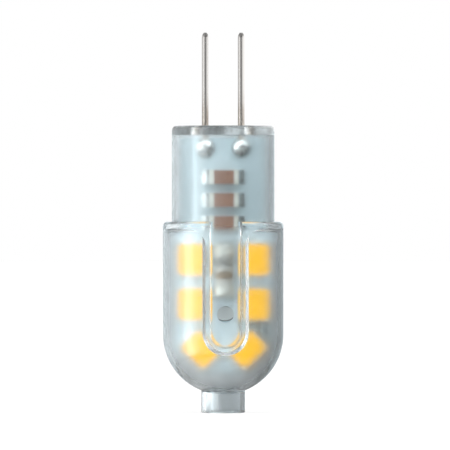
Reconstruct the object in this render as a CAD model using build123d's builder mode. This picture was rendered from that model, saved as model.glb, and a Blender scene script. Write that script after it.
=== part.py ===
from build123d import *
from math import cos, hypot, isclose, radians, sin, sqrt
import os

# A two-pin LED bulb in a clear moulded housing, in millimetres. +Z is up, with the pins on top.
# The origin is the middle of the nub's end face, the front faces -Y, and the board lies on y = 0.

# Clear housing: a round-ended dome, a ledge, a narrower neck and a small hollow nub at the tip
wall = 0.65
dome_d = 13.4
dome_straight = 12.5
ledge_wall = 0.8
ledge_round = 0.5
neck_d = 11.4
neck_length = 10.65
neck_round = 0.5
top_wall = 1.05
nub_d = 4.85
nub_wall = 0.48
nub_length = 2.05
nub_bevel = 0.12

# Groove down the front and the rear of the dome, with its floor flush with the neck
groove_w = 3.7
groove_draft = 8
groove_floor_round = 0.3
groove_end_rise = 0.28

# Rib inside the dome behind each groove, bevelled at its root and with rounded cheeks under the ledge
rib_margin = 0.22
rib_bevel = 0.4
rib_bevel_angle = 45
cheek_round = 2.0

# Post inside each groove floor: the pair clamps the board
post_d = 1.8
fuse_to_post = 0.7

# Contact pins
pin_d = 0.75
pin_pitch = 4.0
pin_exposed = 10.35
pin_tip = 0.55
pin_tip_flat_d = 0.3
pin_hole_clearance = 0.05

# Circuit board
board_t = 1.0
board_top_gap = 0.25
board_neck_gap = 0.2
board_shoulder_gap = 0.2
board_side_gap = 0.68
board_end_gap = 1.65
notch_clearance = 0.1
notch_depth = 2.3

# LED packages: upright pairs above, and a turned pair that follows the round end
led_w = 3.0
led_h = 3.7
led_t = 0.8
led_corner = 0.2
led_rim = 0.1
led_window_corner = 0.55
led_pocket = 0.5
led_pocket_draft = 15
led_fill_drop = 0.06
led_solder_t = 0.06
led_solder_w = 0.9
led_edge_margin = 0.35
led_row_gap = 1.26
upright_rows = 2
end_led_turn = 46.5
end_led_gap = 0.3
end_led_drop = 1.62

# Chip parts, capacitors and resistors alike, with hollow solder fillets at their ends
chip_l = 3.2
chip_w = 1.6
terminal_l = 0.5
terminal_t = 0.04
chip_solder_l = 0.8
solder_hollow = 0.4

# Chip capacitors across the neck
capacitor_t = 1.25
capacitor_count = 3
capacitor_gap = 0.95
capacitor_ledge_drop = 0.15
capacitor_solder_h = 0.8

# Round fuse resistor that stands between the upright LEDs
fuse_l = 5.8
fuse_d = 2.2
fuse_body_d = 2.0
fuse_cap_l = 1.1
fuse_cap_bevel = 0.2
fuse_seat = 0.1
fuse_solder_l = 0.35
fuse_solder_w = 2.6
fuse_solder_h = 0.6
capacitor_to_fuse = 1.2
solder_clearance = 0.02
solder_draft = 22

# Rear of the board: chip resistors in line, and a bridge rectifier with bent leads
resistor_t = 0.55
resistor_count = 2
resistor_solder_h = 0.4
resistor_gap = 0.45
rectifier_w = 3.9
rectifier_h = 4.7
rectifier_t = 1.4
rectifier_standoff = 0.1
rectifier_bevel = 0.25
rectifier_gap = 0.5
lead_pitch = 2.5
lead_w = 0.6
lead_t = 0.2
lead_reach = 1.35
lead_foot = 0.7

# Solder that holds each pin in its notch
pin_solder_d = 2.2
pin_solder_h = 0.8
pin_solder_shoulder_d = 1.75
pin_solder_shoulder_h = 0.5
pin_solder_crown_d = 0.9
pin_solder_drop = 1.2

# Heights and radii that follow from the sizes above
dome_r = dome_d / 2
neck_r = neck_d / 2
nub_r = nub_d / 2
pin_r = pin_d / 2
dome_cavity_r = dome_r - wall
neck_cavity_r = neck_r - wall
dome_centre_z = nub_length + dome_r
ledge_z = dome_centre_z + dome_straight
neck_top_z = ledge_z + neck_length
dome_cavity_top_z = ledge_z - ledge_wall
neck_cavity_top_z = neck_top_z - top_wall
groove_end_z = dome_centre_z + groove_end_rise
groove_bottom_z = groove_end_z - groove_w / 2
groove_bottom_wall = sqrt(dome_r**2 - (dome_centre_z - groove_bottom_z) ** 2) - neck_r
groove_floor_corner = min(groove_floor_round, groove_bottom_wall / 2)
rib_w = groove_w + 2 * rib_margin
rib_bevel_y = sqrt(dome_cavity_r**2 - (rib_w / 2 + rib_bevel) ** 2) - rib_bevel
ledge_w = dome_r - neck_r
ledge_corner = min(ledge_round, ledge_w / 2)

board_face = board_t / 2
board_top_z = neck_cavity_top_z - board_top_gap
board_shoulder_z = dome_cavity_top_z - board_shoulder_gap
board_end_z = dome_centre_z - dome_cavity_r + board_end_gap
board_neck_half = neck_cavity_r - board_neck_gap
board_dome_half = dome_cavity_r - board_side_gap
notch_w = pin_d + 2 * notch_clearance
notch_bottom_z = board_top_z - notch_depth
pin_bottom_z = notch_bottom_z + notch_clearance
pin_tip_z = neck_top_z + pin_exposed
pin_solder_z = board_top_z - pin_solder_drop

led_pitch = led_h + led_row_gap
led_x = board_dome_half - led_edge_margin - led_w / 2
turn_cos = cos(radians(end_led_turn))
turn_sin = sin(radians(end_led_turn))
end_led_x = end_led_gap / 2 + led_w / 2 * turn_cos + led_h / 2 * turn_sin
end_led_z = dome_centre_z - end_led_drop
led_base = board_face + led_solder_t

capacitor_pitch = chip_w + capacitor_gap
first_capacitor_z = ledge_z - capacitor_ledge_drop
fuse_z = first_capacitor_z - chip_w / 2 - capacitor_to_fuse - fuse_solder_l - fuse_l / 2
fuse_axis_y = -(board_face + fuse_seat + fuse_d / 2)
post_z = fuse_z - fuse_l / 2 - fuse_solder_l - fuse_to_post - post_d / 2
resistor_pitch = chip_l + 2 * chip_solder_l + resistor_gap
first_resistor_z = post_z + post_d / 2 + resistor_gap + chip_solder_l + chip_l / 2
rectifier_z = pin_solder_z - pin_solder_d / 2 - rectifier_gap - rectifier_h / 2

# Each plane faces out of its side of the board, with its own y along the bulb
front = Plane.XZ
rear = Plane(origin=(0, 0, 0), x_dir=(-1, 0, 0), z_dir=(0, 1, 0))
sides = {"front": front, "rear": rear}

os.makedirs("parts", exist_ok=True)


def save(shape, name):
    """Labels one finished piece and writes it under its own name."""
    shape.label = name
    export_step(shape, f"parts/{name}.step")


def upright_slot(width, top_z):
    """Draws a slot with a round lower end that runs off the dome's top, in the open sketch."""
    length = top_z + width - groove_end_z
    with Locations((0, groove_end_z + length / 2)):
        SlotCenterToCenter(length, width, rotation=90)


def dome_plug(radius, top_z, corner):
    """Turns a round-ended dome with a flat, rounded-off top about the bulb's axis."""
    with BuildPart() as plug:
        with BuildSketch(Plane.XZ):
            with BuildLine():
                CenterArc((0, dome_centre_z), radius, -90, 90)
                Line((radius, dome_centre_z), (radius, top_z - corner))
                CenterArc((radius - corner, top_z - corner), corner, 0, 90)
                Polyline((radius - corner, top_z), (0, top_z), (0, dome_centre_z - radius))
            make_face()
        revolve(axis=Axis.Z)
    return plug.part


def is_on_neck(edge, tolerance=0.01):
    """Says whether the middle of an edge lies on the neck's outside, carried down to the groove's end."""
    middle = edge.position_at(0.5)
    return isclose(hypot(middle.X, middle.Y), neck_r, abs_tol=tolerance)


def pocket_outline(x, z, turn):
    """Draws the mouth of an LED's pocket at its place on the board, in the open sketch."""
    with Locations((x, z)):
        RectangleRounded(led_w - 2 * led_rim, led_h - 2 * led_rim, led_window_corner, rotation=turn)


# Grooves of the outer form, both sides together, down to the neck's size
with BuildPart() as grooves:
    for side in sides.values():
        with BuildSketch(side.offset(dome_r)):
            upright_slot(groove_w, ledge_z)
        extrude(amount=-dome_r, taper=groove_draft)
    with BuildSketch(Plane.XY):
        Circle(neck_r)
    extrude(amount=neck_top_z, mode=Mode.SUBTRACT)

# Outer form of the housing, both halves together
outer_dome = dome_plug(dome_r, ledge_z, ledge_corner)
with BuildPart() as outer_form:
    add(outer_dome)
    add(grooves.part, mode=Mode.SUBTRACT)
    with BuildSketch(Plane.XY.offset(dome_centre_z)):
        Circle(neck_r)
    extrude(amount=neck_top_z - dome_centre_z)
    floor_edges = outer_form.edges().filter_by(is_on_neck)
    floor_edges = floor_edges.filter_by_position(Axis.Z, groove_bottom_z, ledge_z - ledge_corner)
    fillet(floor_edges, groove_floor_corner)
    fillet(outer_form.edges().filter_by(GeomType.CIRCLE).group_by(Axis.Z)[-1], neck_round)
    with BuildSketch(Plane.XY):
        Circle(nub_r)
        Circle(nub_r - nub_wall, mode=Mode.SUBTRACT)
    extrude(amount=dome_centre_z - sqrt(dome_r**2 - nub_r**2) + wall / 2)
    chamfer(outer_form.edges().group_by(Axis.Z)[0], nub_bevel)

# Ribs of the cavity behind the grooves, wider at the root, with rounded cheeks where they meet the ledge
with BuildPart() as ribs:
    for side in sides.values():
        with BuildSketch(side.offset(dome_r)) as rib_outline:
            upright_slot(rib_w, dome_cavity_top_z)
            with Locations((0, dome_cavity_top_z)):
                Rectangle(dome_d, rib_w, align=(Align.CENTER, Align.MIN))
            fillet([v for v in rib_outline.vertices() if abs(v.Y - dome_cavity_top_z) < wall
                    and abs(v.X) < dome_cavity_r], cheek_round)
        extrude(amount=-dome_r)
        with BuildSketch(side.offset(rib_bevel_y)):
            upright_slot(rib_w, dome_cavity_top_z)
        extrude(amount=dome_r - rib_bevel_y, taper=-rib_bevel_angle)
    with BuildSketch(Plane.XY):
        Circle(neck_cavity_r)
    extrude(amount=neck_top_z, mode=Mode.SUBTRACT)

# Cavity of the housing, drawn in from the outer form by the wall
inner_dome = dome_plug(dome_cavity_r, dome_cavity_top_z, ledge_corner)
with BuildPart() as cavity:
    add(inner_dome)
    add(ribs.part, mode=Mode.SUBTRACT)
    with BuildSketch(Plane.XY.offset(dome_centre_z)):
        Circle(neck_cavity_r)
    extrude(amount=neck_cavity_top_z - dome_centre_z)

# Whole housing, hollowed and bored for the pins
with BuildPart() as housing:
    add(outer_form.part)
    add(cavity.part, mode=Mode.SUBTRACT)
    with BuildSketch(Plane.XY.offset(neck_top_z)):
        with GridLocations(pin_pitch, 0, 2, 1):
            Circle(pin_r + pin_hole_clearance)
    extrude(amount=-top_wall, mode=Mode.SUBTRACT)

# Half-shells, each with the post that clamps the board behind its groove
for side_name, side in sides.items():
    with BuildPart() as half_shell:
        add(housing.part)
        split(bisect_by=side, keep=Keep.TOP)
        with BuildSketch(side.offset(board_face)):
            with Locations((0, post_z)):
                Circle(post_d / 2)
        extrude(amount=neck_r - wall / 2 - board_face)
    save(half_shell.part, f"{side_name}_shell")

# Circuit board: narrow in the neck, wide in the dome, its end corners cut along the turned LEDs
corner_reach = led_w / 2 + led_edge_margin
corner_z = end_led_z + ((board_dome_half - end_led_x) * turn_cos - corner_reach) / turn_sin
corner_x = end_led_x + (corner_reach + (board_end_z - end_led_z) * turn_sin) / turn_cos
with BuildPart() as circuit_board:
    with BuildSketch(front):
        with BuildLine():
            Polyline(
                (0, board_end_z),
                (corner_x, board_end_z),
                (board_dome_half, corner_z),
                (board_dome_half, board_shoulder_z),
                (board_neck_half, board_shoulder_z),
                (board_neck_half, board_top_z),
                (0, board_top_z),
            )
            mirror(about=Plane.YZ)
        make_face()
        with Locations((0, board_top_z)):
            with GridLocations(pin_pitch, 0, 2, 1):
                Rectangle(notch_w, notch_depth, align=(Align.CENTER, Align.MAX), mode=Mode.SUBTRACT)
    extrude(amount=board_face, both=True)
save(circuit_board.part, "circuit_board")

# Contact pins, each with its solder on both faces of the board and in the notch
for hand, x in (("left", -pin_pitch / 2), ("right", pin_pitch / 2)):
    with BuildPart() as contact_pin:
        with BuildSketch(Plane.XZ):
            with BuildLine():
                Polyline(
                    (0, pin_tip_z),
                    (0, pin_bottom_z),
                    (pin_r, pin_bottom_z),
                    (pin_r, pin_tip_z - pin_tip),
                )
                TangentArc((pin_r, pin_tip_z - pin_tip), (pin_tip_flat_d / 2, pin_tip_z), tangent=(0, 1))
                Line((pin_tip_flat_d / 2, pin_tip_z), (0, pin_tip_z))
            make_face()
        revolve(axis=Axis.Z)
    save(Pos(x, 0, 0) * contact_pin.part, f"contact_pin_{hand}")

    with BuildPart() as pin_solder:
        with BuildSketch(Plane.XY.offset(pin_solder_z)):
            with BuildLine():
                Polyline(
                    (x, board_face),
                    (x + pin_solder_d / 2, board_face),
                    (x + pin_solder_shoulder_d / 2, board_face + pin_solder_shoulder_h),
                    (x + pin_solder_crown_d / 2, board_face + pin_solder_h),
                    (x, board_face + pin_solder_h),
                    close=True,
                )
            make_face()
        revolve(axis=Axis((x, 0, pin_solder_z), (0, 1, 0)))
        mirror(about=front)
        with BuildSketch(front):
            with Locations((x, pin_solder_z)):
                Rectangle(notch_w, pin_solder_d)
        extrude(amount=board_face, both=True)
        with BuildSketch(Plane.XY.offset(pin_bottom_z - notch_clearance)):
            with Locations((x, 0)):
                Circle(pin_r + solder_clearance)
        extrude(amount=notch_depth + notch_clearance, mode=Mode.SUBTRACT)
    save(pin_solder.part, f"pin_solder_{hand}")

# LED packages on both faces: a white frame, the yellow fill in its pocket, and two solder pads
led_places = []
for row in range(upright_rows):
    for hand in (-1, 1):
        led_places.append((hand * led_x, end_led_z + (upright_rows - row) * led_pitch, 0))
for hand in (-1, 1):
    led_places.append((hand * end_led_x, end_led_z, -hand * end_led_turn))

for side_name, side in sides.items():
    for number, (x, z, turn) in enumerate(led_places, start=1):
        with BuildPart() as led_frame:
            with BuildSketch(side.offset(led_base)):
                with Locations((x, z)):
                    RectangleRounded(led_w, led_h, led_corner, rotation=turn)
            extrude(amount=led_t)
            with BuildSketch(side.offset(led_base + led_t)):
                pocket_outline(x, z, turn)
            extrude(amount=-led_pocket, taper=led_pocket_draft, mode=Mode.SUBTRACT)
        save(led_frame.part, f"{side_name}_led_frame_{number}")

        with BuildPart() as led_fill:
            with BuildSketch(side.offset(led_base + led_t)):
                pocket_outline(x, z, turn)
            extrude(amount=-led_pocket, taper=led_pocket_draft)
            split(bisect_by=side.offset(led_base + led_t - led_fill_drop), keep=Keep.BOTTOM)
        save(led_fill.part, f"{side_name}_led_fill_{number}")

    with BuildPart() as led_solder:
        with BuildSketch(side.offset(board_face)):
            for x, z, turn in led_places:
                with Locations(Location((x, z, 0), (0, 0, turn))):
                    with GridLocations(0, led_h - led_solder_w, 1, 2):
                        Rectangle(led_w - 2 * led_corner, led_solder_w)
        extrude(amount=led_solder_t)
    save(led_solder.part, f"{side_name}_led_solder")


def chip(side, centre, thickness, upright):
    """Builds a chip part's ceramic block and its two end terminals on one face of the board."""
    turn = 90 if upright else 0
    base = side.offset(board_face)
    with BuildPart() as block:
        with BuildSketch(base.offset(terminal_t)):
            with Locations(centre):
                Rectangle(chip_l - 2 * terminal_t, chip_w - 2 * terminal_t, rotation=turn)
        extrude(amount=thickness - 2 * terminal_t)
    with BuildPart() as terminals:
        with BuildSketch(base):
            with Locations(Location((*centre, 0), (0, 0, turn))):
                with GridLocations(chip_l - terminal_l, 0, 2, 1):
                    Rectangle(terminal_l, chip_w)
        extrude(amount=thickness)
        add(block.part, mode=Mode.SUBTRACT)
    return block.part, terminals.part


def chip_solder(side, centre, height, upright):
    """Builds the two hollow-faced solder fillets at the ends of a chip part."""
    face_y = side.z_dir.Y * board_face
    top_y = side.z_dir.Y * (board_face + height)
    near = chip_l / 2
    far = near + chip_solder_l
    bulge = (near + solder_hollow * (far - near), face_y + solder_hollow * (top_y - face_y))
    with BuildPart() as fillets:
        with BuildSketch(Plane.XY):
            with BuildLine():
                Polyline((far, face_y), (near, face_y), (near, top_y))
                ThreePointArc((near, top_y), bulge, (far, face_y))
            make_face()
        extrude(amount=chip_w / 2, both=True)
        mirror(about=Plane.YZ)
    turn = 90 if upright else 0
    return Pos(centre[0], 0, centre[1]) * Rot(0, turn, 0) * fillets.part


# Capacitors across the neck
solder = []
for number in range(1, capacitor_count + 1):
    place = (0, first_capacitor_z + (number - 1) * capacitor_pitch)
    body, terminals = chip(front, place, capacitor_t, upright=False)
    save(body, f"capacitor_body_{number}")
    save(terminals, f"capacitor_terminals_{number}")
    solder.append(chip_solder(front, place, capacitor_solder_h, upright=False))
save(Compound(children=solder), "capacitor_solder")

# Chip resistors in line between the rear LEDs
solder = []
for number in range(1, resistor_count + 1):
    place = (0, first_resistor_z + (number - 1) * resistor_pitch)
    body, terminals = chip(rear, place, resistor_t, upright=True)
    save(body, f"resistor_body_{number}")
    save(terminals, f"resistor_terminals_{number}")
    solder.append(chip_solder(rear, place, resistor_solder_h, upright=True))
save(Compound(children=solder), "resistor_solder")

# Fuse resistor: a lacquered rod between two metal caps, soldered lying on the board
fuse_base = Plane(origin=(0, fuse_axis_y, fuse_z))
with BuildPart() as fuse_body:
    with BuildSketch(fuse_base):
        Circle(fuse_body_d / 2)
    extrude(amount=fuse_l / 2 - fuse_cap_l, both=True)
save(fuse_body.part, "fuse_body")

with BuildPart() as fuse_caps:
    with BuildSketch(fuse_base.offset(fuse_l / 2 - fuse_cap_l)):
        Circle(fuse_d / 2)
    extrude(amount=fuse_cap_l)
    chamfer(fuse_caps.edges().group_by(Axis.Z)[-1], fuse_cap_bevel)
    mirror(about=fuse_base)
save(fuse_caps.part, "fuse_caps")

with BuildPart() as fuse_solder:
    with BuildSketch(front.offset(board_face)):
        with Locations((0, fuse_z)):
            with GridLocations(0, fuse_l - fuse_cap_l + fuse_solder_l, 1, 2):
                Rectangle(fuse_solder_w, fuse_cap_l + fuse_solder_l)
    extrude(amount=fuse_solder_h, taper=solder_draft)
    with BuildSketch(fuse_base):
        Circle(fuse_d / 2 + solder_clearance)
    extrude(amount=fuse_l / 2 + solder_clearance, both=True, mode=Mode.SUBTRACT)
save(fuse_solder.part, "fuse_solder")

# Bridge rectifier: a moulded block that stands on four bent leads
with BuildPart() as rectifier_body:
    with BuildSketch(rear.offset(board_face + rectifier_standoff)):
        with Locations((0, rectifier_z)):
            Rectangle(rectifier_w, rectifier_h)
    extrude(amount=rectifier_t)
    chamfer(rectifier_body.faces().sort_by(Axis.Y)[-1].edges(), rectifier_bevel)
save(rectifier_body.part, "rectifier_body")

lead_inner = rectifier_w / 2
lead_outer = lead_inner + lead_reach
lead_bend = lead_outer - lead_foot
lead_low = board_face
lead_high = board_face + rectifier_standoff + rectifier_t / 2
with BuildPart() as rectifier_leads:
    for z in (rectifier_z - lead_pitch / 2, rectifier_z + lead_pitch / 2):
        with BuildSketch(Plane.XY.offset(z)):
            with BuildLine():
                Polyline(
                    (lead_inner, lead_high),
                    (lead_bend - lead_t, lead_high),
                    (lead_bend - lead_t, lead_low),
                    (lead_outer, lead_low),
                    (lead_outer, lead_low + lead_t),
                    (lead_bend, lead_low + lead_t),
                    (lead_bend, lead_high + lead_t),
                    (lead_inner, lead_high + lead_t),
                    close=True,
                )
            make_face()
        extrude(amount=lead_w / 2, both=True)
    mirror(about=Plane.YZ)
save(rectifier_leads.part, "rectifier_leads")
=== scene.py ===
"""Looks of a two-pin LED bulb: a clear moulded housing around a populated circuit board.

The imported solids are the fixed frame. Lengths are metres, and MM turns millimetres into them. Only the spans
and heights that a shader compares with a place on the bulb are plain millimetres, as Shader.axis gives them.
"""

import logging
import math
from dataclasses import dataclass
from enum import Enum, auto
from typing import Union

import bmesh
import bpy
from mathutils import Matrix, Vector


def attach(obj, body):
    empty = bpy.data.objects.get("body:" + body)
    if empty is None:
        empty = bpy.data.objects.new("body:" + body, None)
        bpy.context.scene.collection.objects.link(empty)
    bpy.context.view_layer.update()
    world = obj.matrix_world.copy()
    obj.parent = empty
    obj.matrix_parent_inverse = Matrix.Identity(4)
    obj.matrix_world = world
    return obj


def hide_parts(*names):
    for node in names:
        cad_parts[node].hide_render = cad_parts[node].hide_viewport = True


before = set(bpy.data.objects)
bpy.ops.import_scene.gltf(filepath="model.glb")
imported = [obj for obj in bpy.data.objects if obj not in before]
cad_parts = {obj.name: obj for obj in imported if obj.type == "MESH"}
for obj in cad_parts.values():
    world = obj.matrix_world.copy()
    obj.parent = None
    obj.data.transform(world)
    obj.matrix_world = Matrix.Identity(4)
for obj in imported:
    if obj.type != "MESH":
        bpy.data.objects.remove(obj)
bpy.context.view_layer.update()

MM = 0.001
ROOT = "root"
# Corners of a solid that lie closer than this are one.
MERGE = 0.0005 * MM
# The mesh layer that carries a solid's own normals.
EXACT = "exact_normal"
NOISE_MIDDLE = 0.5
WHITE = (1.0, 1.0, 1.0)

log = logging.getLogger("bulb")

Colour = tuple[float, float, float]
Span = tuple[float, float]
Levels = tuple[tuple[float, float], ...]
Number = Union[float, "Value"]
Paint = Union[Colour, bpy.types.NodeSocket]


class Axis(Enum):
    """The three components of a position."""

    X = "X"
    Y = "Y"
    Z = "Z"


class Skin(Enum):
    """The skins of a half-shell, by the number of their material."""

    OUTSIDE = 0
    INSIDE = 1
    JOINT = 2


class CardEnd(Enum):
    """How a lit card ends: as a plain ring, with a foot on the floor or with a dim lid."""

    OPEN = auto()
    FOOT = auto()
    LID = auto()


class Value:
    """One number in a shader, with arithmetic that adds Math nodes."""

    def __init__(self, shader: "Shader", socket: bpy.types.NodeSocket) -> None:
        """Wraps an output socket.

        Args:
            shader: The node tree that the socket belongs to.
            socket: The output socket.
        """
        self.shader = shader
        self.socket = socket

    def _math(self, operation: str, *operands: Number) -> "Value":
        """Adds one Math node.

        Args:
            operation: Blender's name for the operation.
            operands: The numbers or values that it takes, in order.

        Returns:
            The node's result.
        """
        links = dict(enumerate(operands))
        node = self.shader.node("ShaderNodeMath", {"operation": operation}, links)
        return Value(self.shader, node.outputs[0])

    def __add__(self, other: Number) -> "Value":
        """Adds another number."""
        return self._math("ADD", self, other)

    def __radd__(self, other: Number) -> "Value":
        """Adds this value to a plain number."""
        return self._math("ADD", other, self)

    def __sub__(self, other: Number) -> "Value":
        """Takes another number away."""
        return self._math("SUBTRACT", self, other)

    def __rsub__(self, other: Number) -> "Value":
        """Takes this value away from a plain number."""
        return self._math("SUBTRACT", other, self)

    def __mul__(self, other: Number) -> "Value":
        """Multiplies by another number."""
        return self._math("MULTIPLY", self, other)

    def __rmul__(self, other: Number) -> "Value":
        """Multiplies a plain number by this value."""
        return self._math("MULTIPLY", other, self)

    def __truediv__(self, other: Number) -> "Value":
        """Divides by another number."""
        return self._math("DIVIDE", self, other)

    def __rtruediv__(self, other: Number) -> "Value":
        """Divides a plain number by this value."""
        return self._math("DIVIDE", other, self)

    def largest(self, other: Number) -> "Value":
        """Takes the larger of this value and another."""
        return self._math("MAXIMUM", self, other)

    def smallest(self, other: Number) -> "Value":
        """Takes the smaller of this value and another."""
        return self._math("MINIMUM", self, other)

    def direction(self, other: Number) -> "Value":
        """Gives the angle whose sine goes with this value and whose cosine with another, in radians."""
        return self._math("ARCTAN2", self, other)

    def size(self) -> "Value":
        """Drops the sign."""
        return self._math("ABSOLUTE", self)

    def reach(self, other: "Value") -> "Value":
        """Gives the length of the line that goes this value one way and another value across it."""
        return self._math("SQRT", self * self + other * other)

    def swing(self, base: Number, spread: float) -> "Value":
        """Lets this noise move a base up and down within a spread."""
        return base + (self - NOISE_MIDDLE) * spread

    def ramp(self, span: Span, start: float = 0.0, end: float = 1.0) -> "Value":
        """Maps a span smoothly onto another one.

        Args:
            span: The two values that give start and end.
            start: The result at and below the first.
            end: The result at and above the second.

        Returns:
            The mapped value.
        """
        low, high = span
        settings = {"interpolation_type": "SMOOTHSTEP"}
        links = {"Value": self, "From Min": low, "From Max": high, "To Min": start, "To Max": end}
        return Value(self.shader, self.shader.node("ShaderNodeMapRange", settings, links).outputs[0])


class Shader:
    """A node tree that is filled by expressions and by one method that adds any node."""

    def __init__(self, owner: Union[bpy.types.Material, bpy.types.World]) -> None:
        """Empties the owner's node tree.

        Args:
            owner: The material or world whose nodes are made.
        """
        owner.use_nodes = True
        self.tree = owner.node_tree
        self.tree.nodes.clear()

    def node(self, kind: str, settings: dict | None = None, links: dict | None = None) -> bpy.types.Node:
        """Adds one node.

        Args:
            kind: Blender's name for the node type.
            settings: The node's own properties, set first. "stops" fills a colour ramp.
            links: The values, links or wrapped values of its sockets, by name or number.

        Returns:
            The new node.
        """
        made = self.tree.nodes.new(kind)
        for name, setting in (settings or {}).items():
            if name == "stops":
                self._fill_ramp(made.color_ramp, setting)
            else:
                setattr(made, name, setting)
        for key, source in (links or {}).items():
            socket = made.inputs[key]
            source = source.socket if isinstance(source, Value) else source
            if isinstance(source, bpy.types.NodeSocket):
                self.tree.links.new(source, socket)
            elif isinstance(source, tuple) and len(source) == 3 and socket.type == "RGBA":
                socket.default_value = (*source, 1.0)
            else:
                socket.default_value = source
        return made

    @staticmethod
    def _fill_ramp(ramp: bpy.types.ColorRamp, stops: list[tuple[float, Colour]]) -> None:
        """Gives a colour ramp its stops.

        Args:
            ramp: The ramp of a new node, which has two stops.
            stops: Each stop's place and colour.
        """
        while len(ramp.elements) < len(stops):
            ramp.elements.new(1.0)
        for element, (place, colour) in zip(ramp.elements, stops):
            element.position = place
            element.color = (*colour, 1.0)

    def position(self) -> bpy.types.NodeSocket:
        """Gives the place on the object, in metres."""
        return self.node("ShaderNodeTexCoord").outputs["Object"]

    def axis(self, axis: Axis) -> Value:
        """Gives one component of the place on the object, in millimetres."""
        split = self.node("ShaderNodeSeparateXYZ", links={0: self.position()})
        return Value(self, split.outputs[axis.value]) / MM

    def noise(self, size: float, detail: float = 3.0, length: float = 1.0) -> Value:
        """Gives soft noise over the object.

        Args:
            size: The size of one blotch, in metres.
            detail: How many finer layers lie on top.
            length: How many times longer a blotch is along the bulb.

        Returns:
            A value around a half.
        """
        scale = (1.0 / size, 1.0 / size, 1.0 / (size * length))
        place = self.node("ShaderNodeMapping", {"vector_type": "POINT"},
                          {"Vector": self.position(), "Scale": scale}).outputs[0]
        made = self.node("ShaderNodeTexNoise", {"noise_dimensions": "3D"},
                         {"Vector": place, "Scale": 1.0, "Detail": detail})
        return Value(self, made.outputs[0])

    def cells(self, size: float) -> Value:
        """Gives the distance to the nearest of many scattered grains, which are size apart."""
        made = self.node("ShaderNodeTexVoronoi", links={"Vector": self.position(), "Scale": 1.0 / size})
        return Value(self, made.outputs["Distance"])

    def mix(self, factor: Number, start: Paint, end: Paint) -> bpy.types.NodeSocket:
        """Mixes two colours.

        Args:
            factor: 0 for start, 1 for end.
            start: The first colour.
            end: The second colour.

        Returns:
            The mixed colour's socket.
        """
        made = self.node("ShaderNodeMix", {"data_type": "RGBA"}, {0: factor, 6: start, 7: end})
        return made.outputs[2]

    def bump(self, height: Value, depth: float) -> bpy.types.NodeSocket:
        """Turns a height from 0 to 1 into the normals of a relief that is depth deep, in metres."""
        made = self.node("ShaderNodeBump", links={"Height": height, "Distance": depth, "Strength": 1.0})
        return made.outputs[0]

    def round_about(self, across: Value, depth: Value, levels: Levels) -> Value:
        """Gives a brightness that changes with the direction around the bulb.

        Args:
            across: How far the direction points to the right.
            depth: How far it points away from the camera.
            levels: The brightness by the angle from the camera's side, in degrees.

        Returns:
            The brightness.
        """
        peak = max(level for _, level in levels)
        stops = [(0.5 + angle / 360, (level / peak,) * 3) for angle, level in levels]
        turn = across.direction(0 - depth) / (2 * math.pi) + 0.5
        return Value(self, self.node("ShaderNodeValToRGB", {"stops": stops}, {0: turn}).outputs[0]) * peak

    def surface(self, **sockets: object) -> None:
        """Adds the Principled shader and joins it to the material's output.

        Args:
            sockets: Values by socket name, with underscores for spaces.
        """
        links = {name.replace("_", " "): given for name, given in sockets.items()}
        made = self.node("ShaderNodeBsdfPrincipled", links=links)
        self.node("ShaderNodeOutputMaterial", links={"Surface": made.outputs[0]})


@dataclass(frozen=True)
class Finish:
    """A surface finish that makes its material once and hands it out again."""

    name: str

    def paint(self, shader: Shader) -> None:
        """Fills the material's nodes."""
        raise NotImplementedError

    def material(self) -> bpy.types.Material:
        """Gives the finish's material.

        Returns:
            The material, made on the first call.
        """
        known = bpy.data.materials.get(self.name)
        if known is not None:
            return known
        made = bpy.data.materials.new(self.name)
        self.paint(Shader(made))
        return made


@dataclass(frozen=True)
class ClearPlastic(Finish):
    """Clear, faintly blue moulded plastic, with a roughness of its own in the neck and a mottled tone."""

    roughness: float = 0.05
    neck_roughness: float = 0.05
    neck_span: Span = (20.0, 21.0)
    spread: float = 0.03
    ripple: float = 0.002 * MM
    ripple_size: float = 1.6 * MM
    ripple_length: float = 3.0
    tint: Colour = (0.916, 0.969, 0.987)
    shade: Colour = (0.904, 0.961, 0.983)
    tone_span: Span = (0.35, 0.65)
    ior: float = 1.53

    def paint(self, shader: Shader) -> None:
        """Fills the material's nodes.

        Args:
            shader: The material's node tree.
        """
        flow = shader.noise(self.ripple_size, detail=2.0, length=self.ripple_length)
        satin = shader.axis(Axis.Z).ramp(self.neck_span, self.roughness, self.neck_roughness)
        shader.surface(Base_Color=shader.mix(flow.ramp(self.tone_span), self.tint, self.shade), IOR=self.ior,
                       Transmission_Weight=1.0, Roughness=flow.swing(satin, self.spread),
                       Normal=shader.bump(flow, self.ripple))


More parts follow.
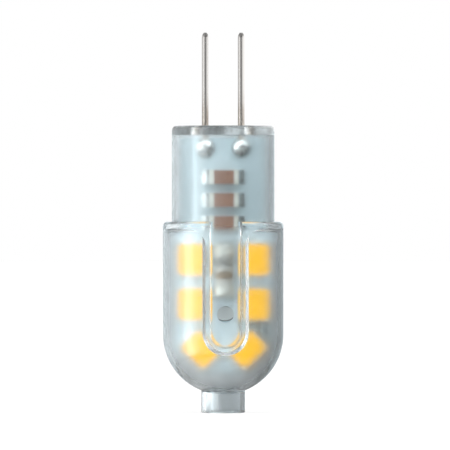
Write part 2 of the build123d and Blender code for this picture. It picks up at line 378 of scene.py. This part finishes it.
@dataclass(frozen=True)
class BoardLacquer(Finish):
    """White solder-stop lacquer over a woven board, with painted shade in places and a painted lit disc with a
    shaded rim behind the post.
    """

    colour: Colour = (0.85, 0.95, 0.98)
    shade: Colour = (0.77, 0.88, 0.93)
    tone_span: Span = (0.3, 0.7)
    cloud_size: float = 2.2 * MM
    # Painted shade: the lacquer is darker in the neck.
    painted_neck_shade: Colour = (0.545, 0.65, 0.685)
    neck_span: Span = (19.5, 22.0)
    # Painted shade: darker right of the lower LEDs and at the board's lower end.
    painted_shade_colour: Colour = (0.44, 0.49, 0.49)
    shade_heights: Span = (10.0, 12.3)
    shade_across: Span = (1.9, 3.0)
    end_shade_span: Span = (4.3, 5.0)
    # Painted light and shade behind the post: a pale disc with a dark rim, set off-centre from the post.
    painted_pad: Colour = (0.97, 0.95, 0.92)
    pad_shade_rim: Colour = (0.20, 0.20, 0.19)
    pad_across: float = 0.09
    pad_height: float = 11.07
    pad_radius: float = 0.9
    pad_edge_width: float = 0.18
    pad_edge_blur: float = 0.08
    pad_rim_blur: float = 0.05
    weave: float = 0.35 * MM
    relief: float = 0.006 * MM
    roughness: float = 0.34
    spread: float = 0.12
    coat: float = 0.15

    def paint(self, shader: Shader) -> None:
        """Fills the material's nodes.

        Args:
            shader: The material's node tree.
        """
        cloud = shader.noise(self.cloud_size)
        fine = shader.noise(self.weave, detail=1.0)
        height = shader.axis(Axis.Z)
        across = shader.axis(Axis.X) - self.pad_across
        lacquer = shader.mix(cloud.ramp(self.tone_span), self.colour, self.shade)
        # Painted shade: the lacquer is darker in the neck.
        lacquer = shader.mix(height.ramp(self.neck_span), lacquer, self.painted_neck_shade)
        # Painted shade right of the lower LEDs and at the board's lower end.
        side = height.ramp(self.shade_heights, 1.0, 0.0) * across.ramp(self.shade_across)
        painted_shade = side.largest(height.ramp(self.end_shade_span, 1.0, 0.0))
        lacquer = shader.mix(painted_shade, lacquer, self.painted_shade_colour)
        # Painted light and shade: a pale disc with an off-centre dark rim behind the post.
        reach = across.reach(height - self.pad_height)
        inner = self.pad_radius - self.pad_edge_width
        painted_pad = shader.mix(reach.ramp((inner, inner + self.pad_edge_blur)), self.painted_pad, self.pad_shade_rim)
        pad_disc = reach.ramp((self.pad_radius - self.pad_rim_blur, self.pad_radius), 1.0, 0.0)
        shader.surface(Base_Color=shader.mix(pad_disc, lacquer, painted_pad), Coat_Weight=self.coat,
                       Roughness=fine.swing(self.roughness, self.spread),
                       Normal=shader.bump(fine, self.relief))


@dataclass(frozen=True)
class DrawnPin(Finish):
    """Plated wire with fine drawing lines along it, browner towards the housing."""

    colour: Colour = (0.70, 0.68, 0.66)
    base_brown: Colour = (0.40, 0.34, 0.285)
    base_brown_span: Span = (32.0, 36.5)
    base_brown_roughness: float = 0.1
    blotch_size: float = 1.1 * MM
    blotch_span: Span = (0.25, 0.75)
    blotch_least: float = 0.6
    line_size: float = 0.09 * MM
    line_length: float = 60.0
    relief: float = 0.004 * MM
    roughness: float = 0.2
    spread: float = 0.14

    def paint(self, shader: Shader) -> None:
        """Fills the material's nodes.

        Args:
            shader: The material's node tree.
        """
        lines = shader.noise(self.line_size, detail=2.0, length=self.line_length)
        blotch = shader.noise(self.blotch_size).ramp(self.blotch_span, self.blotch_least)
        # Darker, browner and rougher towards the housing.
        brown = shader.axis(Axis.Z).ramp(self.base_brown_span, 1.0, 0.0) * blotch
        rough = lines.swing(self.roughness, self.spread) + brown * self.base_brown_roughness
        shader.surface(Base_Color=shader.mix(brown, self.colour, self.base_brown), Metallic=1.0,
                       Roughness=rough, Normal=shader.bump(lines, self.relief))


@dataclass(frozen=True)
class SolderMetal(Finish):
    """Bright solder with a slightly frosted, grainy skin."""

    bright: Colour = (0.64, 0.64, 0.62)
    dull: Colour = (0.30, 0.30, 0.29)
    tone_span: Span = (0.35, 0.7)
    cloud_size: float = 0.7 * MM
    grain_size: float = 0.28 * MM
    relief: float = 0.01 * MM
    metal: float = 1.0
    roughness: float = 0.145
    spread: float = 0.25

    def paint(self, shader: Shader) -> None:
        """Fills the material's nodes.

        Args:
            shader: The material's node tree.
        """
        grain = shader.cells(self.grain_size)
        cloud = shader.noise(self.cloud_size)
        shader.surface(Base_Color=shader.mix(cloud.ramp(self.tone_span), self.bright, self.dull),
                       Metallic=self.metal, Roughness=cloud.swing(self.roughness, self.spread),
                       Normal=shader.bump(grain, self.relief))


@dataclass(frozen=True)
class LedFrame(Finish):
    """Chalky white reflector plastic."""

    colour: Colour = (0.88, 0.87, 0.83)
    shade: Colour = (0.80, 0.78, 0.72)
    tone_span: Span = (0.35, 0.75)
    cloud_size: float = 0.9 * MM
    grain_size: float = 0.08 * MM
    relief: float = 0.003 * MM
    roughness: float = 0.45
    spread: float = 0.1

    def paint(self, shader: Shader) -> None:
        """Fills the material's nodes.

        Args:
            shader: The material's node tree.
        """
        cloud = shader.noise(self.cloud_size)
        fine = shader.noise(self.grain_size)
        shader.surface(Base_Color=shader.mix(cloud.ramp(self.tone_span), self.colour, self.shade),
                       Roughness=fine.swing(self.roughness, self.spread),
                       Normal=shader.bump(fine, self.relief))


@dataclass(frozen=True)
class LedFill(Finish):
    """Yellow phosphor gel, deeper in tone in places, with a painted glow of its own that brightens it beyond
    the studio light.
    """

    colour: Colour = (0.92, 0.395, 0.012)
    deep: Colour = (0.90, 0.38, 0.01)
    tone_span: Span = (0.3, 0.75)
    cloud_size: float = 0.8 * MM
    grain_size: float = 0.05 * MM
    relief: float = 0.003 * MM
    roughness: float = 0.5
    spread: float = 0.1
    specular: float = 0.3
    # Painted light: the colour of the gel's own glow.
    glow: Colour = (1.0, 0.60, 0.008)
    painted_glow_strength: float = 0.62

    def paint(self, shader: Shader) -> None:
        """Fills the material's nodes.

        Args:
            shader: The material's node tree.
        """
        cloud = shader.noise(self.cloud_size)
        grain = shader.noise(self.grain_size, detail=2.0)
        shader.surface(Base_Color=shader.mix(cloud.ramp(self.tone_span), self.colour, self.deep),
                       Roughness=grain.swing(self.roughness, self.spread), Specular_IOR_Level=self.specular,
                       # Painted light: the gel glows by itself, whatever light falls on it.
                       Emission_Color=self.glow, Emission_Strength=self.painted_glow_strength,
                       Normal=shader.bump(grain, self.relief))


@dataclass(frozen=True)
class ChipCeramic(Finish):
    """Fired ceramic with fine specks."""

    colour: Colour = (0.31, 0.145, 0.085)
    speck: Colour = (0.20, 0.095, 0.06)
    speck_span: Span = (0.45, 0.7)
    speck_size: float = 0.12 * MM
    relief: float = 0.006 * MM
    roughness: float = 0.42
    spread: float = 0.2

    def paint(self, shader: Shader) -> None:
        """Fills the material's nodes.

        Args:
            shader: The material's node tree.
        """
        speckle = shader.noise(self.speck_size, detail=4.0)
        shader.surface(Base_Color=shader.mix(speckle.ramp(self.speck_span), self.colour, self.speck),
                       Roughness=speckle.swing(self.roughness, self.spread),
                       Normal=shader.bump(speckle, self.relief))


@dataclass(frozen=True)
class FuseLacquer(Finish):
    """Lacquered rod with a brown and a grey band around it."""

    ground: Colour = (0.60, 0.58, 0.53)
    brown: Colour = (0.25, 0.16, 0.08)
    brown_height: float = 15.3
    grey: Colour = (0.25, 0.245, 0.22)
    grey_height: float = 16.75
    band_span: Span = (0.25, 0.65)
    wobble: float = 0.2
    wobble_size: float = 0.5 * MM
    relief: float = 0.01 * MM
    roughness: float = 0.33
    spread: float = 0.1
    coat: float = 0.4

    def paint(self, shader: Shader) -> None:
        """Fills the material's nodes.

        Args:
            shader: The material's node tree.
        """
        uneven = shader.noise(self.wobble_size)
        height = uneven.swing(shader.axis(Axis.Z), self.wobble)
        colour: Paint = self.ground
        for band, centre in ((self.brown, self.brown_height), (self.grey, self.grey_height)):
            near = (height - centre).size().ramp(self.band_span, 1.0, 0.0)
            colour = shader.mix(near, colour, band)
        shader.surface(Base_Color=colour, Roughness=uneven.swing(self.roughness, self.spread),
                       Coat_Weight=self.coat, Normal=shader.bump(uneven, self.relief))


@dataclass
class Housing:
    """The clear housing: two half-shells, polished outside, satin inside and frosted where they meet."""

    outside: ClearPlastic = ClearPlastic("clear_polished")
    inside: ClearPlastic = ClearPlastic("clear_satin", roughness=0.36, neck_roughness=0.245, spread=0.04)
    joint: ClearPlastic = ClearPlastic("clear_joint", roughness=0.42, neck_roughness=0.42, spread=0.2,
                                       ripple=0.06 * MM, ripple_size=0.7 * MM, shade=(0.36, 0.38, 0.38))
    halves: tuple[str, str] = ("front_shell", "rear_shell")
    slot: str = "clear_housing"
    joint_gap: float = 0.006 * MM
    joint_half: float = 0.05 * MM
    neck_bore: float = 5.07 * MM
    dome_bore: float = 6.07 * MM
    dome_centre: float = 8.75 * MM
    groove_half: float = 2.0 * MM
    post_height: float = 10.99 * MM
    post_reach: float = 0.95 * MM

    @staticmethod
    def merged_copy(node: str) -> bmesh.types.BMesh:
        """Copies a solid's mesh with its loose triangles merged.

        Args:
            node: The solid's name.

        Returns:
            The merged copy, with the exact normals of the solid's corners in a layer of their own.
        """
        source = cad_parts[node].data
        normals = iter([corner.vector.copy() for corner in source.corner_normals])
        mesh = bmesh.new()
        mesh.from_mesh(source)
        layer = mesh.loops.layers.float_vector.new(EXACT)
        for face in mesh.faces:
            for loop in face.loops:
                loop[layer] = next(normals)
        bmesh.ops.remove_doubles(mesh, verts=mesh.verts, dist=MERGE)
        mesh.normal_update()
        return mesh

    def skin(self, face: bmesh.types.BMFace) -> Skin:
        """Chooses a face's skin by where the face lies.

        Args:
            face: A face of a half-shell.

        Returns:
            The skin. The posts are as polished as the outside.
        """
        centre = face.calc_center_median()
        if max(abs(vertex.co.y) for vertex in face.verts) < self.joint_half:
            return Skin.JOINT
        if math.hypot(centre.x, centre.z - self.post_height) < self.post_reach:
            return Skin.OUTSIDE
        radius = math.hypot(centre.x, centre.y)
        if centre.z < self.dome_centre:
            within = math.hypot(radius, centre.z - self.dome_centre) < self.dome_bore
        else:
            beside_groove = radius < self.dome_bore and abs(centre.x) > self.groove_half
            within = radius < self.neck_bore or beside_groove
        return Skin.INSIDE if within else Skin.OUTSIDE

    def piece(self, node: str, mesh: bmesh.types.BMesh) -> None:
        """Turns a bmesh into a finished half-shell that rides on the bulb and stands for its solid.

        Args:
            node: The solid's name.
            mesh: The half-shell's shape, which is freed.
        """
        name = f"clear_{node}"
        data = bpy.data.meshes.new(name)
        mesh.to_mesh(data)
        mesh.free()
        data.shade_smooth()
        data.normals_split_custom_set([corner.vector for corner in data.attributes[EXACT].data])
        data.attributes.remove(data.attributes[EXACT])
        finishes = {Skin.OUTSIDE: self.outside, Skin.INSIDE: self.inside, Skin.JOINT: self.joint}
        for skin in Skin:
            data.materials.append(finishes[skin].material())
        made = bpy.data.objects.new(name, data)
        bpy.context.scene.collection.objects.link(made)
        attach(made, ROOT)
        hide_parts(node)
        log.info("%s: %d faces", name, len(data.polygons))

    def build(self) -> None:
        """Builds both half-shells from their solids, each drawn in by a hair so that no faces coincide."""
        for node in self.halves:
            mesh = self.merged_copy(node)
            for vertex in mesh.verts:
                vertex.co -= vertex.normal * self.joint_gap
            for face in mesh.faces:
                face.material_index = self.skin(face).value
            self.piece(node, mesh)


@dataclass(frozen=True)
class Dressing:
    """How solids whose names start alike are dressed: a finish, and rounded edges or a surface that flows.

    The edge is the width of the rounding. The flow says how many times the surface is relaxed, as solder
    draws itself round.
    """

    start: str
    finish: Finish
    edge: float = 0.0
    flow: int = 0
    edge_segments: int = 2
    edge_angle: float = 35.0
    flow_voxel: float = 0.04 * MM
    flow_factor: float = 0.5

    def soften(self, solid: bpy.types.Object) -> None:
        """Rounds a solid's edges.

        Args:
            solid: The solid's object.
        """
        weld = solid.modifiers.new("join", "WELD")
        weld.merge_threshold = MERGE
        bevel = solid.modifiers.new("soften", "BEVEL")
        bevel.width = self.edge
        bevel.segments = self.edge_segments
        bevel.limit_method = "ANGLE"
        bevel.angle_limit = math.radians(self.edge_angle)
        bevel.harden_normals = False

    def relax(self, solid: bpy.types.Object) -> None:
        """Lets a solid's whole surface flow round.

        Args:
            solid: The solid's object.
        """
        remesh = solid.modifiers.new("fill", "REMESH")
        remesh.mode = "VOXEL"
        remesh.voxel_size = self.flow_voxel
        remesh.use_smooth_shade = True
        smooth = solid.modifiers.new("relax", "SMOOTH")
        smooth.factor = self.flow_factor
        smooth.iterations = self.flow

    def apply(self) -> None:
        """Dresses each solid whose name fits."""
        for node in sorted(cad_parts):
            if not node.startswith(self.start):
                continue
            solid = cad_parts[node]
            solid.data.materials.clear()
            solid.data.materials.append(self.finish.material())
            if self.edge:
                self.soften(solid)
            if self.flow:
                self.relax(solid)
            log.info("%s: dressed in %s", node, self.finish.name)


@dataclass
class Internals:
    """Everything on the board, dressed as it was soldered."""

    board: BoardLacquer = BoardLacquer("white_board")
    pin: DrawnPin = DrawnPin("drawn_pin")
    solder: SolderMetal = SolderMetal("bright_solder")
    led_frame: LedFrame = LedFrame("white_led_frame")
    led_fill: LedFill = LedFill("yellow_fill")
    capacitor: ChipCeramic = ChipCeramic("brown_ceramic")
    resistor: ChipCeramic = ChipCeramic("black_glaze", colour=(0.03, 0.03, 0.032), speck=(0.05, 0.05, 0.05))
    terminal: SolderMetal = SolderMetal("tinned_ends", bright=(0.80, 0.79, 0.72), dull=(0.66, 0.64, 0.57),
                                        metal=0.35, roughness=0.445)
    fuse: FuseLacquer = FuseLacquer("banded_lacquer")
    rectifier: ChipCeramic = ChipCeramic("black_moulding", colour=(0.022, 0.022, 0.024),
                                         speck=(0.035, 0.035, 0.036))
    board_edge: float = 0.04 * MM
    led_edge: float = 0.03 * MM
    capacitor_edge: float = 0.05 * MM
    resistor_edge: float = 0.03 * MM
    terminal_edge: float = 0.015 * MM
    rectifier_edge: float = 0.06 * MM
    lead_edge: float = 0.03 * MM
    pin_flow: int = 30
    chip_flow: int = 6

    def build(self) -> None:
        """Dresses each solid by the first words of its name."""
        plan = (
            Dressing("circuit_board", self.board, edge=self.board_edge),
            Dressing("contact_pin", self.pin),
            Dressing("pin_solder", self.solder, flow=self.pin_flow),
            Dressing("front_led_frame", self.led_frame, edge=self.led_edge),
            Dressing("rear_led_frame", self.led_frame, edge=self.led_edge),
            Dressing("front_led_fill", self.led_fill),
            Dressing("rear_led_fill", self.led_fill),
            Dressing("front_led_solder", self.solder),
            Dressing("rear_led_solder", self.solder),
            Dressing("capacitor_body", self.capacitor, edge=self.capacitor_edge),
            Dressing("capacitor_terminals", self.terminal, edge=self.terminal_edge),
            Dressing("capacitor_solder", self.solder, flow=self.chip_flow),
            Dressing("resistor_body", self.resistor, edge=self.resistor_edge),
            Dressing("resistor_terminals", self.terminal, edge=self.terminal_edge),
            Dressing("resistor_solder", self.solder, flow=self.chip_flow),
            Dressing("fuse_body", self.fuse),
            Dressing("fuse_caps", self.terminal),
            Dressing("fuse_solder", self.solder, flow=self.chip_flow),
            Dressing("rectifier_body", self.rectifier, edge=self.rectifier_edge),
            Dressing("rectifier_leads", self.terminal, edge=self.lead_edge),
        )
        for dressing in plan:
            dressing.apply()


@dataclass(frozen=True)
class LitCard:
    """A ring of lit card around the bulb, which only reflections see.

    The levels are its brightness by the angle from the camera's side, in degrees. A foot or lid reaches
    inwards and fades from the full radius to the dark one.
    """

    name: str
    low: float
    high: float
    levels: Levels
    colour: Colour
    end: CardEnd = CardEnd.OPEN
    radius: float = 20.0 * MM
    segments: int = 96
    dark_radius: float = 13.0 * MM
    full_radius: float = 18.0 * MM
    lid_hole: float = 0.1 * MM
    lid_level: float = 0.3

    @staticmethod
    def pull(mesh: bmesh.types.BMesh, edges: list[bmesh.types.BMEdge]) -> tuple[list, list]:
        """Draws a new row of faces out of a rim.

        Args:
            mesh: The mesh that the rim belongs to.
            edges: The rim.

        Returns:
            The new rim's vertices and edges, which still lie on the old rim.
        """
        drawn = bmesh.ops.extrude_edge_only(mesh, edges=edges)["geom"]
        vertices = [part for part in drawn if isinstance(part, bmesh.types.BMVert)]
        return vertices, [part for part in drawn if isinstance(part, bmesh.types.BMEdge)]

    def shape(self) -> bpy.types.Mesh:
        """Makes the ring, with a foot under it or a lid on it.

        Returns:
            The card's mesh.
        """
        mesh = bmesh.new()
        start = self.dark_radius if self.end is CardEnd.FOOT else self.radius
        bmesh.ops.create_circle(mesh, segments=self.segments, radius=start)
        edges = mesh.edges[:]
        if self.end is CardEnd.FOOT:
            vertices, edges = self.pull(mesh, edges)
            wider = self.radius / start
            bmesh.ops.scale(mesh, verts=vertices, vec=(wider, wider, 1.0))
        vertices, edges = self.pull(mesh, edges)
        bmesh.ops.translate(mesh, verts=vertices, vec=(0.0, 0.0, self.high - self.low))
        if self.end is CardEnd.LID:
            vertices, edges = self.pull(mesh, edges)
            narrower = self.lid_hole / self.radius
            bmesh.ops.scale(mesh, verts=vertices, vec=(narrower, narrower, 1.0))
        bmesh.ops.translate(mesh, verts=mesh.verts, vec=(0.0, 0.0, self.low))
        data = bpy.data.meshes.new(self.name)
        mesh.to_mesh(data)
        mesh.free()
        return data

    def material(self) -> bpy.types.Material:
        """Makes the card's light.

        Returns:
            The material.
        """
        made = bpy.data.materials.new(self.name)
        made.cycles.emission_sampling = "NONE"
        shader = Shader(made)
        across, depth = shader.axis(Axis.X), shader.axis(Axis.Y)
        faint = self.lid_level if self.end is CardEnd.LID else 0.0
        fade = across.reach(depth).ramp((self.dark_radius / MM, self.full_radius / MM), faint)
        light = shader.round_about(across, depth, self.levels) * fade
        glow = shader.node("ShaderNodeEmission", links={"Color": self.colour, "Strength": light})
        shader.node("ShaderNodeOutputMaterial", links={"Surface": glow.outputs[0]})
        return made

    def build(self) -> None:
        """Stands the card on the stage."""
        data = self.shape()
        data.materials.append(self.material())
        made = bpy.data.objects.new(self.name, data)
        made.visible_camera = False
        made.visible_diffuse = False
        made.visible_transmission = False
        made.visible_shadow = False
        bpy.context.scene.collection.objects.link(made)


@dataclass
class Studio:
    """White floor, soft light from all round, a strip light on the left, three lit cards and the camera.

    Angles are degrees. The floor's fades are millimetres, and the soft light's heights and depths belong to
    a direction of length 1.
    """

    distance: float = 1.0
    field: float = 50.0 * MM
    sensor: float = 36.0
    clip_start: float = 10.0 * MM
    azimuth: float = -2.6
    aim_right: float = 0.2 * MM
    aim_height: float = 20.88 * MM
    floor_half: float = 4.0
    floor_glow: float = 0.85
    floor_white: float = 0.8
    # Painted light on the floor for the bulb: lighter on the left, far to the left and near the bulb.
    floor_light: float = 0.34
    floor_dark: float = 0.17
    floor_fade: Span = (-1.8, 1.2)
    floor_far: float = 0.3
    floor_far_fade: Span = (-16.0, -8.0)
    floor_near: float = 0.4
    floor_near_fade: Span = (4.0, 8.0)
    paper_half: float = 3.0
    paper_edge: float = 2.0
    soft_heights: Span = (0.45, 0.62)
    soft_depths: Span = (-0.3, 0.2)
    soft_level: float = 4.8
    back_level: float = 0.4
    through_limit: float = 1.0
    round_levels: Levels = (
        (-180, 0.6), (-150, 0.55), (-115, 0.6), (-96, 0.8), (-83, 4.2), (-62, 4.0), (-46, 2.8), (-28, 2.0),
        (-8, 1.4), (6, 0.9), (18, 0.35), (38, 0.16), (76, 0.2), (92, 0.8), (126, 0.75), (140, 0.33),
        (160, 0.3), (176, 0.32), (180, 0.6))
    strip_angle: float = 65.0
    strip_distance: float = 0.45
    strip_width: float = 0.07
    strip_height: float = 0.6
    strip_radiance: float = 3.0
    card_heights: tuple[float, float, float, float] = (0.05 * MM, 20.5 * MM, 31.4 * MM, 46.5 * MM)
    card_cool: Colour = (0.82, 0.94, 1.0)
    dome_levels: Levels = (
        (-180, 0.5), (-155, 0.5), (-128, 1.1), (-112, 0.7), (-98, 0.7), (-86, 1.4), (-78, 2.4), (-72, 4.2),
        (-67, 6.6), (-61, 8.2), (-55, 6.4), (-50, 4.4), (-44, 3.0), (-37, 2.2), (-20, 1.4), (0, 0.9),
        (18, 0.3), (38, 0.16), (76, 0.2), (92, 0.4), (112, 0.4), (135, 0.6), (180, 0.5))
    neck_levels: Levels = (
        (-180, 0.6), (-140, 0.9), (-110, 1.0), (-90, 0.9), (-72, 1.6), (-65, 2.6), (-63, 8.0), (-57, 8.0),
        (-55, 3.0), (-46, 2.6), (-28, 1.8), (-8, 1.0), (18, 0.3), (38, 0.16), (60, 0.4), (92, 0.9),
        (112, 1.1), (150, 1.2), (180, 0.6))
    pin_levels: Levels = (
        (-180, 0.8), (-118, 0.62), (-70, 1.0), (-48, 0.95), (-30, 0.5), (-12, 0.22), (12, 0.26), (30, 0.45),
        (52, 1.1), (110, 1.4), (180, 1.0))

    def camera(self) -> None:
        """Sets the camera level with the bulb, far off, with a long lens."""
        turn = math.radians(self.azimuth)
        back = Vector((math.sin(turn), -math.cos(turn), 0.0))
        right = Vector((math.cos(turn), math.sin(turn), 0.0))
        aim = right * self.aim_right + Vector((0.0, 0.0, self.aim_height))
        data = bpy.data.cameras.new("camera")
        data.sensor_width = self.sensor
        data.lens = self.sensor * self.distance / self.field
        data.clip_start = self.clip_start
        made = bpy.data.objects.new("camera", data)
        made.location = aim + back * self.distance
        made.rotation_mode = "QUATERNION"
        made.rotation_quaternion = (-back).to_track_quat("-Z", "Y")
        bpy.context.scene.collection.objects.link(made)
        bpy.context.scene.camera = made

    def floor_paper(self) -> bpy.types.Material:
        """Makes a paper that shows white to the camera, keeps a soft shadow and is greyer for the bulb, with
        painted light: lighter on the left, far to the left and near the bulb.

        Returns:
            The floor's material.
        """
        made = bpy.data.materials.new("white_floor")
        shader = Shader(made)
        camera = Value(shader, shader.node("ShaderNodeLightPath").outputs["Is Camera Ray"])
        across, depth = shader.axis(Axis.X), shader.axis(Axis.Y)
        # Painted light for the bulb's reflections: the paper is lighter on the left, far to the left and near
        # the bulb.
        tone = across.ramp(self.floor_fade, self.floor_light, self.floor_dark)
        tone = tone + across.ramp(self.floor_far_fade, self.floor_far, 0.0)
        tone = tone + across.reach(depth).ramp(self.floor_near_fade, self.floor_near, 0.0)
        tone = tone * (1 - camera) + camera * self.floor_white
        shade = shader.node("ShaderNodeCombineColor", links={"Red": tone, "Green": tone, "Blue": tone})
        paper = shader.node("ShaderNodeBsdfDiffuse", links={"Color": shade.outputs[0]})
        glow = shader.node("ShaderNodeEmission", links={"Color": WHITE, "Strength": 1.0})
        both = shader.node("ShaderNodeMixShader",
                           links={0: camera * self.floor_glow, 1: paper.outputs[0], 2: glow.outputs[0]})
        shader.node("ShaderNodeOutputMaterial", links={"Surface": both.outputs[0]})
        return made

    def floor(self) -> None:
        """Lays the floor that the bulb stands on."""
        mesh = bmesh.new()
        bmesh.ops.create_grid(mesh, x_segments=1, y_segments=1, size=self.floor_half)
        data = bpy.data.meshes.new("floor")
        mesh.to_mesh(data)
        mesh.free()
        data.materials.append(self.floor_paper())
        made = bpy.data.objects.new("floor", data)
        bpy.context.scene.collection.objects.link(made)

    def world(self) -> None:
        """Surrounds the bulb with white paper, light that changes around it and a soft light from above.

        The camera sees white all round. Reflections and the clear plastic see white straight behind the
        bulb, and what is seen straight through the plastic elsewhere is held to plain white at most.
        """
        made = bpy.data.worlds.new("studio")
        bpy.context.scene.world = made
        shader = Shader(made)
        outwards = shader.node("ShaderNodeTexCoord").outputs["Generated"]
        way = shader.node("ShaderNodeSeparateXYZ", links={0: outwards})
        across, depth, height = (Value(shader, way.outputs[axis.value]) for axis in Axis)
        ring = shader.round_about(across, depth, self.round_levels)
        above = height.ramp(self.soft_heights)
        soft = depth.ramp(self.soft_depths, self.soft_level, self.back_level)
        level = ring * (1 - above) + soft * above
        turn = math.radians(self.azimuth)
        ahead = depth * math.cos(turn) - across * math.sin(turn)
        paper = ahead.ramp((math.cos(math.radians(self.paper_half + self.paper_edge)),
                            math.cos(math.radians(self.paper_half))))
        path = shader.node("ShaderNodeLightPath").outputs
        glossy, clear = Value(shader, path["Is Glossy Ray"]), Value(shader, path["Is Transmission Ray"])
        bounces = Value(shader, path["Diffuse Depth"]) + Value(shader, path["Glossy Depth"])
        straight = clear * bounces.ramp((0.0, 1.0), 1.0, 0.0)
        level = level * (1 - straight) + level.smallest(self.through_limit) * straight
        seen = Value(shader, path["Is Camera Ray"]).largest(glossy.largest(clear) * paper)
        strength = level * (1 - seen) + seen
        light = shader.node("ShaderNodeBackground", links={"Color": WHITE, "Strength": strength})
        shader.node("ShaderNodeOutputWorld", links={"Surface": light.outputs[0]})

    def cards(self) -> None:
        """Stands the three lit cards above each other, one each for dome, neck and pins."""
        foot, ledge, neck_end, lid = self.card_heights
        LitCard("dome_card", foot, ledge, self.dome_levels, self.card_cool, CardEnd.FOOT).build()
        LitCard("neck_card", ledge, neck_end, self.neck_levels, self.card_cool).build()
        LitCard("pin_card", neck_end, lid, self.pin_levels, WHITE, CardEnd.LID).build()

    def strip(self) -> None:
        """Hangs a tall, narrow soft light to the left of the camera."""
        turn = math.radians(self.strip_angle)
        way = Vector((-math.sin(turn), -math.cos(turn), 0.0))
        data = bpy.data.lights.new("strip", "AREA")
        data.shape = "RECTANGLE"
        data.size = self.strip_width
        data.size_y = self.strip_height
        data.energy = self.strip_radiance * math.pi * self.strip_width * self.strip_height
        made = bpy.data.objects.new("strip", data)
        made.location = way * self.strip_distance + Vector((0.0, 0.0, self.aim_height))
        made.rotation_mode = "QUATERNION"
        made.rotation_quaternion = (-way).to_track_quat("-Z", "Y")
        made.visible_camera = False
        bpy.context.scene.collection.objects.link(made)

    def build(self) -> None:
        """Builds the stage."""
        bpy.context.scene.view_settings.view_transform = "Standard"
        self.camera()
        self.floor()
        self.world()
        self.cards()
        self.strip()


def main() -> None:
    """Builds the bulb's pieces in order, then the studio around them."""
    logging.basicConfig(level=logging.INFO, format="%(name)s: %(message)s")
    Housing().build()
    Internals().build()
    Studio().build()


if __name__ == "__main__":
    main()
